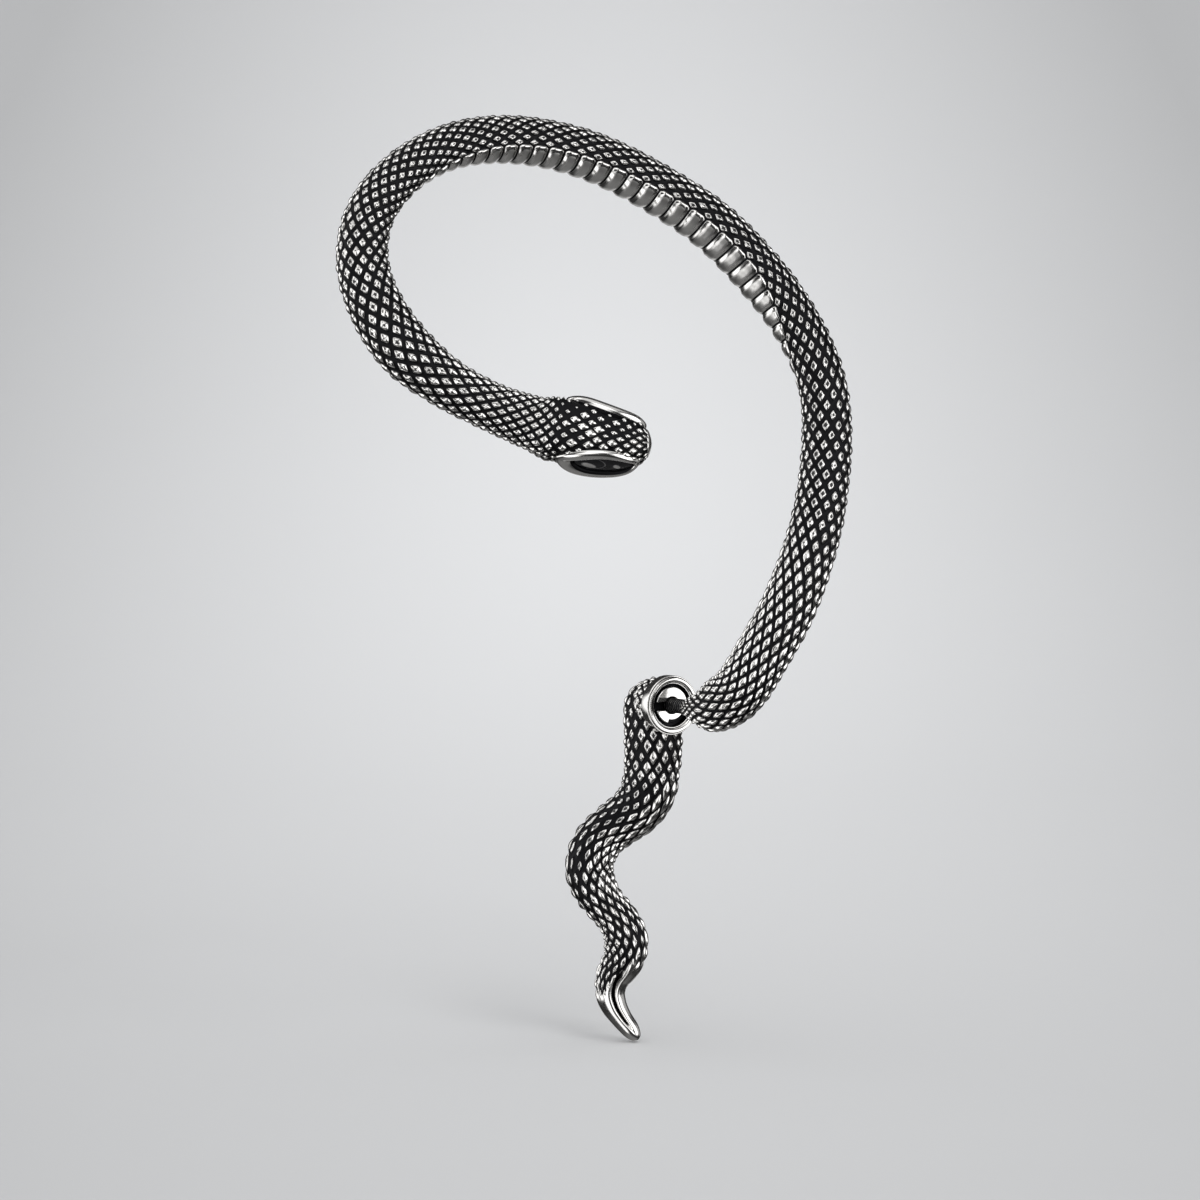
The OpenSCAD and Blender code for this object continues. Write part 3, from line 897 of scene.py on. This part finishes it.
def eye_frame(side):
    """The middle, long way, high way and outward way of the eye on one side, from the head's
    way to the snout, its crown and its cheek where the eyes are."""
    head = settings().head
    way = heading(HOOK_ROWS, np.array([float(EYE_ROW)]))
    crown = -body_frame(way, np.radians(HOOK_ROWS[EYE_ROW, BELLY])[None])[0][0]
    way = way[0]
    cheek = np.cross(crown, way)
    middle = HOOK_ROWS[EYE_ROW, :3] - way * head.back / MM - crown * EYE_LOW
    long_way = way * math.cos(head.toe) - cheek * side * math.sin(head.toe)
    out = unit(cheek * side + way * math.tan(head.toe))
    out = out * math.cos(head.lean) + crown * math.sin(head.lean)
    return middle, long_way, np.cross(out, long_way), out


def eye_place(side, points):
    """Where points lie from one eye: along it and up it, as parts of its half length and half
    height, and out of the head in millimetres."""
    head = settings().head
    middle, long_way, high_way, out = eye_frame(side)
    away = points - middle
    long = (away @ long_way - head.ahead / MM) / (head.eye_long / MM / 2)
    return long, (away @ high_way) / (head.eye_high / MM / 2), away @ out


def oval(side, profile, sink=0.0):
    """A closed dish or lens beside the head. Each profile row is half length, half height,
    distance out, rise and distance ahead; at angle a the corner is at half length times cos a
    along and half height times sin a times |sin a| to the power point across, which sharpens
    the ends. Sink times cos a to the power 6 lowers the ends onto the head."""
    around = 96
    point = 0.15
    middle, long_way, high_way, out = eye_frame(side)
    a = np.arange(around) * 2 * math.pi / around
    sharp = np.sin(a) * np.abs(np.sin(a)) ** point
    half_long, half_high, level, rise, ahead = np.transpose(profile)[..., None]
    points = (middle
              + long_way * (half_long * np.cos(a))[..., None]
              + high_way * (half_high * sharp)[..., None]
              + out * (level - sink * np.cos(a) ** 6)[..., None]
              + long_way * ahead[..., None])
    poles = [middle + out * row[2] + long_way * row[4] for row in (profile[0], profile[-1])]
    return (np.concatenate([points.reshape(-1, 3), poles]),
            tube_faces(np.zeros(len(profile)), np.zeros(around)),
            np.concatenate([np.repeat(rise, around), rise[0], rise[-1]]))


def painted_eye_glints(side, points):
    """Where highlights are painted on the black of an eye, from 0 to 1, and how far the eye
    swells there: one oval spot behind its middle, one smaller before it, and a fine curved
    line."""
    long, high = eye_place(side, points)[:2]
    high = side * high

    def spot(at, slant, half_long, half_high):
        """A leaning oval, by a bell curve of the square of its distance."""
        leaned = high - slant * (long - at)
        return np.exp(-(((long - at) / half_long) ** 2 + (leaned / half_high) ** 2) ** 2)

    rear = spot(-0.5, 0.5, 0.24, 0.30)
    fore = spot(0.45, 0.9, 0.13, 0.26)
    arc = np.exp(-((np.hypot(long + 0.75, high + 0.2) - 0.80) / 0.035) ** 2)
    return np.clip(rear + 0.8 * fore + 0.35 * arc, 0, 1), rear + fore


class CLIMBER_OT_eyes(Operator):
    """Build the two polished rims and the black eyes in them"""

    bl_idname = "snake_climber.eyes"
    bl_label = "Eyes and rims"

    def execute(self, context):
        head = settings().head
        long = head.rim_long / MM / 2
        high = head.rim_high / MM / 2
        a = head.eye_long / MM / 2
        b = head.eye_high / MM / 2
        ahead = head.ahead / MM
        top = head.rim_out / MM
        turn = np.radians(np.linspace(0, 150, 24))
        share = (1 - np.cos(turn)) / (1 - np.cos(turn[-1]))
        # The crest's rise falls to 0 toward its inner edge, which is painted dark: painted shade
        # on the rim's inner slope.
        crest = np.stack([long + (a - long) * share, high + (b - high) * share,
                          top - 0.4 + 0.4 * np.sin(turn), 1 - smooth(0.66, 0.86, share),
                          ahead * share], -1)
        skirt = [[long * 0.6, high * 0.6, top - 1.5, 0, 0],
                 [long - 0.05, high - 0.05, top - 0.9, 0, 0],
                 [long - 0.01, high - 0.01, top - 0.5, 0, 0]]
        seat = [[a - 0.01, b - 0.01, top - 0.24, 0, ahead],
                [a - 0.02, b - 0.02, top - 0.5, 0, ahead],
                [a * 0.4, b * 0.4, top - 0.52, 0, ahead]]
        rim_rows = np.concatenate([skirt, crest, seat])
        arc = np.radians(np.linspace(0, 87, 36))
        dome = np.stack([(a - 0.03) * np.cos(arc), (b - 0.03) * np.cos(arc),
                         top - 0.42 + 0.3 * np.sin(arc), 0 * arc, ahead + 0 * arc], -1)
        eye_rows = np.concatenate([[[a - 0.03, b - 0.03, top - 0.47, 0, ahead]], dome])
        polished = steel_material("Polished rims", 0.1, stain=0.2, bump=0.1, oxide_and_shade_below=0.3)
        stone = stone_material()
        for side, name in ((1, "left"), (-1, "right")):
            build("eye_rim_" + name, oval(side, rim_rows, RIM_SINK), polished, "hook")
            points, faces, painted_glint = oval(side, eye_rows)
            # The eye's rise holds its painted highlights.
            painted_glint, swell = painted_eye_glints(side, points)
            points = points + eye_frame(side)[3] * (EYE_SWELL * swell)[:, None]
            build("eye_" + name + "_stone", (points, faces, painted_glint), stone, "hook",
                  ["eye_" + name])
        return {"FINISHED"}


def lathe(profile, around, wave=None):
    """A profile of radius, distance along the post and rise, turned about the post. The last
    row joins the first, so the ring is closed. Wave changes the distance over the disc."""
    a = np.arange(around) * 2 * math.pi / around
    radius, along, rise = np.transpose(profile)[..., None] * np.ones(around)
    if wave is not None:
        along, rise = wave(radius, along, rise, a)
    points = (POST_RIGHT * (radius * np.cos(a))[..., None]
              + POST_UP * (radius * np.sin(a))[..., None] + POST_WAY * along[..., None])
    count = len(profile)
    k, c = np.meshgrid(np.arange(count), np.arange(around), indexing="ij")
    nk = (k + 1) % count
    nc = (c + 1) % around
    faces = np.stack([k * around + c, k * around + nc, nk * around + nc, nk * around + c], -1)
    return points.reshape(-1, 3), faces.reshape(-1, 4), rise.ravel()


def rounded(corners):
    """A closed outline with each corner rounded. A corner's row is radius, distance along,
    rise and cut; the rounding is the quadratic curve from the point at cut before the corner
    to the one at cut after it."""
    steps = 6
    corners = np.asarray(corners, dtype=float)
    before = unit(np.roll(corners, 1, axis=0)[:, :2] - corners[:, :2])
    after = unit(np.roll(corners, -1, axis=0)[:, :2] - corners[:, :2])
    t = np.linspace(0, 1, steps)[None, :, None]
    here = corners[:, None, :2]
    cut = corners[:, 3][:, None, None]
    start = here + before[:, None] * cut
    stop = here + after[:, None] * cut
    arc = (1 - t) ** 2 * start + 2 * t * (1 - t) * here + t**2 * stop
    rise = np.repeat(corners[:, None, 2:3], steps, axis=1)
    return np.concatenate([arc, rise], axis=-1).reshape(-1, 3)


class CLIMBER_OT_post(Operator):
    """Build the finely grooved post through the lobe"""

    bl_idname = "snake_climber.post"
    bl_label = "Lobe post"

    def execute(self, context):
        radius = settings().clasp.post / MM / 2
        low = COLLAR_FACE - POST_BACK
        high = LOBE_ROOM / 2 + POST_IN
        along = np.linspace(low, high, 260)
        wave = 0.5 + 0.5 * np.cos(2 * math.pi * along / POST_PITCH)
        fine = smooth(low, low + 0.3, along) * wave
        deep = 0.05
        shaft = np.stack([radius - deep + deep * fine, along, 0.10 + 0.42 * wave], -1)
        core = np.array([[0.02, high, 0.5], [0.02, low, 0.5]])
        shape = lathe(np.concatenate([shaft, core]), 48)
        material = steel_material("Grooved post", 0.16, stain=0.2, bump=0.1, oxide_and_shade_below=0.55)
        build("post_shaft", shape, material, "hook", ["lobe_post"])
        return {"FINISHED"}


class CLIMBER_OT_clutch(Operator):
    """Build the slotted clutch face with its sleeve"""

    bl_idname = "snake_climber.clutch"
    bl_label = "Grip clutch"

    def execute(self, context):
        clasp = settings().clasp
        outer = clasp.disc / MM / 2
        bore = clasp.post / MM / 2 + 0.04
        slot_half = clasp.slot / MM / 2
        face = COLLAR_FACE - 0.2
        back = COLLAR_FACE - clasp.collar_long / MM - PART_GAP
        deep = 0.34
        thick = 0.45
        sleeve = 1.1
        flange = 1.38

        def cut(radius, along, rise, angle):
            """Sinks a slot to the left of the bore, where the height over its middle line is
            under its half width, and a step along the disc's lower edge, and paints both dark
            with the oxide colour as painted shade."""
            px = radius * np.cos(angle)
            py = radius * np.sin(angle)
            slot = smooth(slot_half + 0.05, slot_half - 0.05, np.abs(py)) * smooth(0.1, -0.1, px)
            turn = np.degrees(np.arctan2(py, px))
            span = smooth(-108, -104, turn) * smooth(-25, -50, turn)
            step = smooth(1.14, 1.22, radius) * span
            sunk = np.clip(slot + step, 0, 1) * (along > face - 0.35)
            # Painted shade: rise falls to 0 in the slot and the step.
            return along - deep * sunk, rise * (1 - sunk)

        rings = np.linspace(bore + 0.1, outer - 0.07, 40)
        top = np.stack([rings, face - 0.03 * (rings / outer) ** 2, np.ones(40)], -1)
        edge = [[outer - 0.02, face - 0.045, 1], [outer, face - 0.09, 0.6],
                [outer, face - 0.38, 0.1], [outer - 0.03, face - thick, 0.1],
                [sleeve, face - thick, 0.1], [sleeve, back - 0.01, 0.6],
                [flange, back - 0.02, 0.8], [flange, back - 0.39, 0.9],
                # The bore's walls toward the face have rise 0: painted shade down the bore.
                [bore, back - 0.4, 0.5], [bore, face - 0.25, 0.0],
                [bore + 0.01, face - 0.12, 0.0], [bore + 0.06, face - 0.03, 0.5]]
        shape = lathe(np.concatenate([top, edge]), 288, wave=cut)
        material = steel_material("Polished clutch", 0.06, stain=0.05, bump=0.05, oxide_and_shade_below=0.45)
        build("clutch_face", shape, material, "grip", ["grip_clutch"])
        return {"FINISHED"}


class CLIMBER_OT_collar(Operator):
    """Build the polished collar with its rounded lip and dark recess"""

    bl_idname = "snake_climber.collar"
    bl_label = "Socket collar"

    def execute(self, context):
        clasp = settings().clasp
        outer = clasp.collar / MM / 2
        inner = clasp.recess / MM / 2
        face = COLLAR_FACE
        back = face - clasp.collar_long / MM
        bore = 1.16
        floor = face - 0.75
        corners = [
            [bore, back, 0.3, 0.03], [outer, back, 1.0, 0.06],
            [outer, face - 0.16, 1.0, 0.09], [outer - 0.11, face - 0.17, 0.0, 0.02],
            [outer - 0.12, face - 0.21, 0.0, 0.02], [outer - 0.15, face - 0.04, 1.0, 0.06],
            [outer - 0.2, face, 1.0, 0.05],
            [inner + 0.2, face, 1.0, 0.16], [inner + 0.09, face - 0.2, 0.2, 0.02],
            [inner + 0.02, face - 0.19, 0.9, 0.03], [inner, floor, 0.0, 0.02],
            [bore, floor, 0.0, 0.02],
        ]
        material = steel_material("Polished collar", 0.08, stain=0.1, bump=0.06, oxide_and_shade_below=0.4)
        build("collar_ring", lathe(rounded(corners), 256), material, "tail",
              ["socket_collar"])
        return {"FINISHED"}


class CLIMBER_OT_tail(Operator):
    """Build the wavy tail with its scales, its smooth grooved point and its scaled neck"""

    bl_idname = "snake_climber.tail"
    bl_label = "Tail"

    def execute(self, context):
        body = settings().body

        def fields_at(x, half, places, wide, pitch):
            """Scales all round but the belly at the back. Down to the second bend, the left has
            wider gaps and more dark pits than the right, and so has the top all round. The
            left's extra pits are painted shade on that side."""
            left = smooth(0.42, 0.60, turn_share())[None, :] - 0.5
            bend = smooth(1.5, 3.5, places) * smooth(11, 9, places)
            top = smooth(3.5, 1.5, places)
            low = smooth(10, 12, places)
            groove = body.groove + 0.05 + 0.24 * left * bend + 0.03 * top + 0.05 * low
            # Painted shade: more dark pits on the tail's left side.
            oxide_and_pit_shade = 0.40 + 1.2 * left * bend + 0.2 * top
            return body_fields(x, half, wide, pitch, groove, oxide_and_pit_shade, **TAIL_SCALES)

        def point(radius, fields, angle, places):
            """Smooths the skin past the last scales, later on the left than on the right,
            flattens the left of the point and cuts a deep narrow channel down its front. Both
            are bell curves of the angle from their own line. From tip_row on the radius closes
            as a quarter circle."""
            left = smooth(-0.5, 0.5, angle - math.pi)
            bare = smooth(SMOOTH_ROW + 2.0 * left, SMOOTH_ROW + 0.8 + 2.0 * left, places)
            radius = radius + body.relief / MM * (1 - fields[..., 0]) * bare
            fields = fields + (np.array(BARE) - fields) * bare[..., None]
            start = smooth(SMOOTH_ROW, SMOOTH_ROW + 1.5, places)
            fade = 1 - smooth(17.0, 18.6, places)
            channel = np.exp(-((angle - math.pi + 0.28) / (0.10 + 0.06 * fade)) ** 2)
            flat = np.exp(-((angle - math.pi - 0.85) / 0.5) ** 2)
            radius = radius * (1 - 0.5 * channel * start * fade - 0.10 * flat * start)
            fields[..., 1] = fields[..., 1] - 0.8 * channel * start * fade
            tip_row = 18.0
            end = np.clip((places - tip_row) / 1.04, 0, 1)
            return radius * np.sqrt(1 - end**2), fields

        points, faces, fields = skin(TAIL_ROWS, [[0, TAIL_BELLY]], [TAIL_TOP, TAIL_POINT],
                                     fields_at, extra=point)
        points, faces, fields = self.dome(points, fields)
        build("tail_body", (self.make_room(points), faces, fields), scale_steel(), "tail",
              ["tail_drop"])
        build("tail_neck", self.neck(), scale_steel(), "tail")
        return {"FINISHED"}

    def dome(self, points, fields):
        """Adds a half ball over the tail's top and joins all rings anew: its rings climb
        against the path by the cosine of their angle and shrink by its sine."""
        body = settings().body
        y = all_columns()
        columns = len(y)
        way = heading(TAIL_ROWS, np.array([0.0]))[0]
        wide = TAIL_ROWS[0, THICK] * body.thick / MM
        pitch = 1.9
        count = 4 * body.steps
        turn = np.linspace(0, math.pi / 2, count + 1)[:-1] + 0.02
        x = (np.arange(count) - count) / body.steps
        full = np.ones((count, 1))
        added = body_fields(x[:, None], full * TAIL_BELLY * body.belly_half, full * wide,
                            full * pitch, body.groove + 0.08, 0.6, **TAIL_SCALES)
        relief = 1 - (1 - added[..., 0]) * np.sin(turn)[:, None]
        direction = unit(points[:columns] - TAIL_TOP)
        reach = (wide / 2 - body.relief / MM * (1 - relief))[..., None]
        cap = (TAIL_TOP + direction[None] * np.sin(turn)[:, None, None] * reach
               - way * np.cos(turn)[:, None, None] * reach)
        points = np.concatenate([cap.reshape(-1, 3), points[:-2],
                                 [TAIL_TOP - way * wide / 2, points[-1]]])
        fields = np.concatenate([added.reshape(-1, 4), fields[:-2], [BARE, fields[-1]]])
        rings = len(points) // columns
        x = np.concatenate([x, np.arange(rings - count) / body.steps])
        return points, tube_faces(x, y), fields

    def make_room(self, points):
        """Sinks the skin that lies within the neck to behind the collar."""
        clasp = settings().clasp
        behind = 0.2
        wall = 0.25
        along = points @ POST_WAY
        off = np.linalg.norm(points - along[:, None] * POST_WAY, axis=1)
        floor = COLLAR_FACE - clasp.collar_long / MM - behind
        inside = (off < clasp.neck / MM / 2 - wall) & (along > floor)
        return points + np.where(inside, floor - along, 0)[:, None] * POST_WAY

    def neck(self):
        """The neck behind the collar: a straight run along the post and then a quarter circle
        to the pole behind, turned about the post, with smaller scales."""
        body = settings().body
        clasp = settings().clasp
        around = 34
        straight = 1.1
        size = clasp.neck / MM / 2
        front = COLLAR_FACE - clasp.collar_long / MM - PART_GAP
        full = straight + size * math.pi / 2
        cells = int(round(2 * full))
        run = np.linspace(0, full - 0.06, cells * body.steps + 1)
        turn = np.clip((run - straight) / size, 0, None)
        x = np.arange(len(run)) / body.steps
        y = np.arange(around * body.steps) / body.steps
        fields = scale_fields(x[:, None], y[None, :], body.groove,
                              oxide_and_pit_shade=0.3, vary=0.16, lay=1, seed=17)
        relief = 1 - (1 - fields[0]) * np.clip(np.cos(turn), 0, 1)[:, None] * 0.7
        reach = size - body.relief / MM * (1 - relief)
        angle = y * 2 * math.pi / around
        radial = POST_RIGHT * np.cos(angle)[:, None] + POST_UP * np.sin(angle)[:, None]
        along = front - np.minimum(run, straight)
        points = (POST_WAY * along[:, None, None]
                  + radial[None] * (reach * np.cos(turn)[:, None])[..., None]
                  - POST_WAY * (reach * np.sin(turn)[:, None])[..., None])
        poles = [POST_WAY * front, POST_WAY * (front - straight - size)]
        fields = np.stack(fields, -1).reshape(-1, 4)
        return (np.concatenate([points.reshape(-1, 3), poles]), tube_faces(x, y)[:, ::-1],
                np.concatenate([fields, [BARE, BARE]]))


def aim(thing, place, target):
    """Puts a lamp or camera at a place and turns it to look at a target, upright."""
    thing.location = np.array(place) * MM
    way = Vector(np.array(target) * MM) - thing.location
    thing.rotation_euler = way.to_track_quat("-Z", "Y").to_euler()


class CLIMBER_OT_stage(Operator):
    """Build the pale floor and wall, the lights and the camera"""

    bl_idname = "snake_climber.stage"
    bl_label = "Stage"

    # Degrees to the viewer's right, degrees up, core and reach in degrees, brightness
    boxes = [
        (60, 8, 20, 36, 3.2),
        (110, 0, 10, 26, 0.6),
        (-94, 4, 18, 34, 2.4),
        (-95, 44, 14, 30, 2.0),
        (8, 44, 10, 26, 2.8),
        (-46, -26, 13, 30, 2.8),
        (-12, 10, 9, 25, 2.2),
        (0, 90, 18, 46, 1.2),
        (0, -90, 20, 50, 0.25),
        (180, -26, 12, 30, 0.8),
    ]

    def execute(self, context):
        self.sweep()
        self.world()
        self.lamp()
        self.camera()
        bpy.context.scene.view_settings.view_transform = "Standard"
        return {"FINISHED"}

    def sweep(self):
        """A floor that curves up into a wall: flat, then a quarter circle, then upright."""
        ground = -28.2
        front = -3000.0
        depth = 120.0
        bend = 900.0
        wide = 1500.0
        tall = 1600.0
        turn = np.linspace(0, math.pi / 2, 120)
        y = np.concatenate([[front, 0.0], depth + bend * np.sin(turn), [depth + bend]])
        z = ground + np.concatenate([[0, 0], bend - bend * np.cos(turn), [tall]])
        points = np.stack(np.broadcast_arrays([-wide, wide], y[:, None], z[:, None]), -1)
        k = np.arange(len(y) - 1) * 2
        faces = np.stack([k, k + 1, k + 3, k + 2], -1)
        paper = mesh_object("paper_sweep", points.reshape(-1, 3), faces, stage_material())
        paper.visible_glossy = False

    def world(self):
        """Even light for matt surfaces. For gloss, a dark studio with round soft boxes, each
        fading out between two angles from its middle."""
        world = bpy.data.worlds.new("Studio")
        bpy.context.scene.world = world
        world.use_nodes = True
        tree = world.node_tree
        even = tree.nodes["Background"]
        even.inputs["Color"].default_value = (0.985, 0.99, 1.0, 1)
        even.inputs["Strength"].default_value = 1.0
        way = add(tree, "TexCoord").outputs["Generated"]
        total = 0.05
        for *angles, bright in self.boxes:
            turn, height, core, reach = map(math.radians, angles)
            level = math.cos(height)
            centre = (level * math.sin(turn), -level * math.cos(turn), math.sin(height))
            dot = add(tree, "VectorMath", {0: way, 1: centre}, operation="DOT_PRODUCT")
            glow = ranged(tree, dot.outputs["Value"], math.cos(reach), math.cos(core), 0, bright)
            total = calc(tree, "ADD", glow, total)
        gloss = add(tree, "Background", {"Strength": total})
        path = add(tree, "LightPath")
        pick = add(tree, "MixShader", {0: path.outputs["Is Glossy Ray"], 1: even.outputs[0],
                                       2: gloss.outputs[0]})
        link(tree, pick.outputs[0], tree.nodes["World Output"].inputs["Surface"])

    def lamp(self):
        """The lamp for the paper and its shadows, unseen in the metal."""
        lamp = bpy.data.lights.new("key_box", "AREA")
        lamp.shape = "RECTANGLE"
        lamp.size = 0.16
        lamp.size_y = 0.16
        lamp.energy = 0.35
        thing = put("key_box", lamp)
        aim(thing, (190, -230, 330), (0, 0, 10))
        thing.visible_glossy = False
        thing.visible_camera = False

    def camera(self):
        """The photograph's view: 8 degrees above level, 96 mm wide at the object."""
        rise = math.radians(8)
        far = 420.0
        wide = 96.0
        target = np.array([-6.72, 0.0, 8.644])
        lens = bpy.data.cameras.new("view")
        lens.sensor_fit = "HORIZONTAL"
        lens.sensor_width = 36
        lens.lens = lens.sensor_width * far / wide
        lens.clip_start = 0.01
        lens.clip_end = 10
        camera = put("view", lens)
        aim(camera, target + far * np.array([0, -math.cos(rise), math.sin(rise)]), target)
        bpy.context.scene.camera = camera


class CLIMBER_PT_panel(Panel):
    """Lists the pieces of the ear climber"""

    bl_label = "Ear climber"
    bl_idname = "CLIMBER_PT_panel"
    bl_space_type = "VIEW_3D"
    bl_region_type = "UI"
    bl_category = "Ear climber"

    def draw(self, context):
        layout = self.layout
        climber = context.scene.snake_climber
        for group in (climber.body, climber.head, climber.clasp, climber.look):
            box = layout.box()
            for name in group.bl_rna.properties.keys():
                if name not in ("rna_type", "name"):
                    box.prop(group, name)
        for piece in OPERATORS:
            layout.operator(piece.bl_idname)


OPERATORS = (CLIMBER_OT_body, CLIMBER_OT_eyes, CLIMBER_OT_post, CLIMBER_OT_clutch,
             CLIMBER_OT_collar, CLIMBER_OT_tail, CLIMBER_OT_stage)
CLASSES = (BodySettings, HeadSettings, ClaspSettings, LookSettings, ClimberSettings,
           *OPERATORS, CLIMBER_PT_panel)


def register():
    for cls in CLASSES:
        bpy.utils.register_class(cls)
    bpy.types.Scene.snake_climber = PointerProperty(type=ClimberSettings)


def unregister():
    del bpy.types.Scene.snake_climber
    for cls in reversed(CLASSES):
        bpy.utils.unregister_class(cls)


def main():
    register()
    ops = bpy.ops.snake_climber
    ops.body()
    ops.eyes()
    ops.post()
    ops.clutch()
    ops.collar()
    ops.tail()
    ops.stage()


if __name__ == "__main__":
    main()
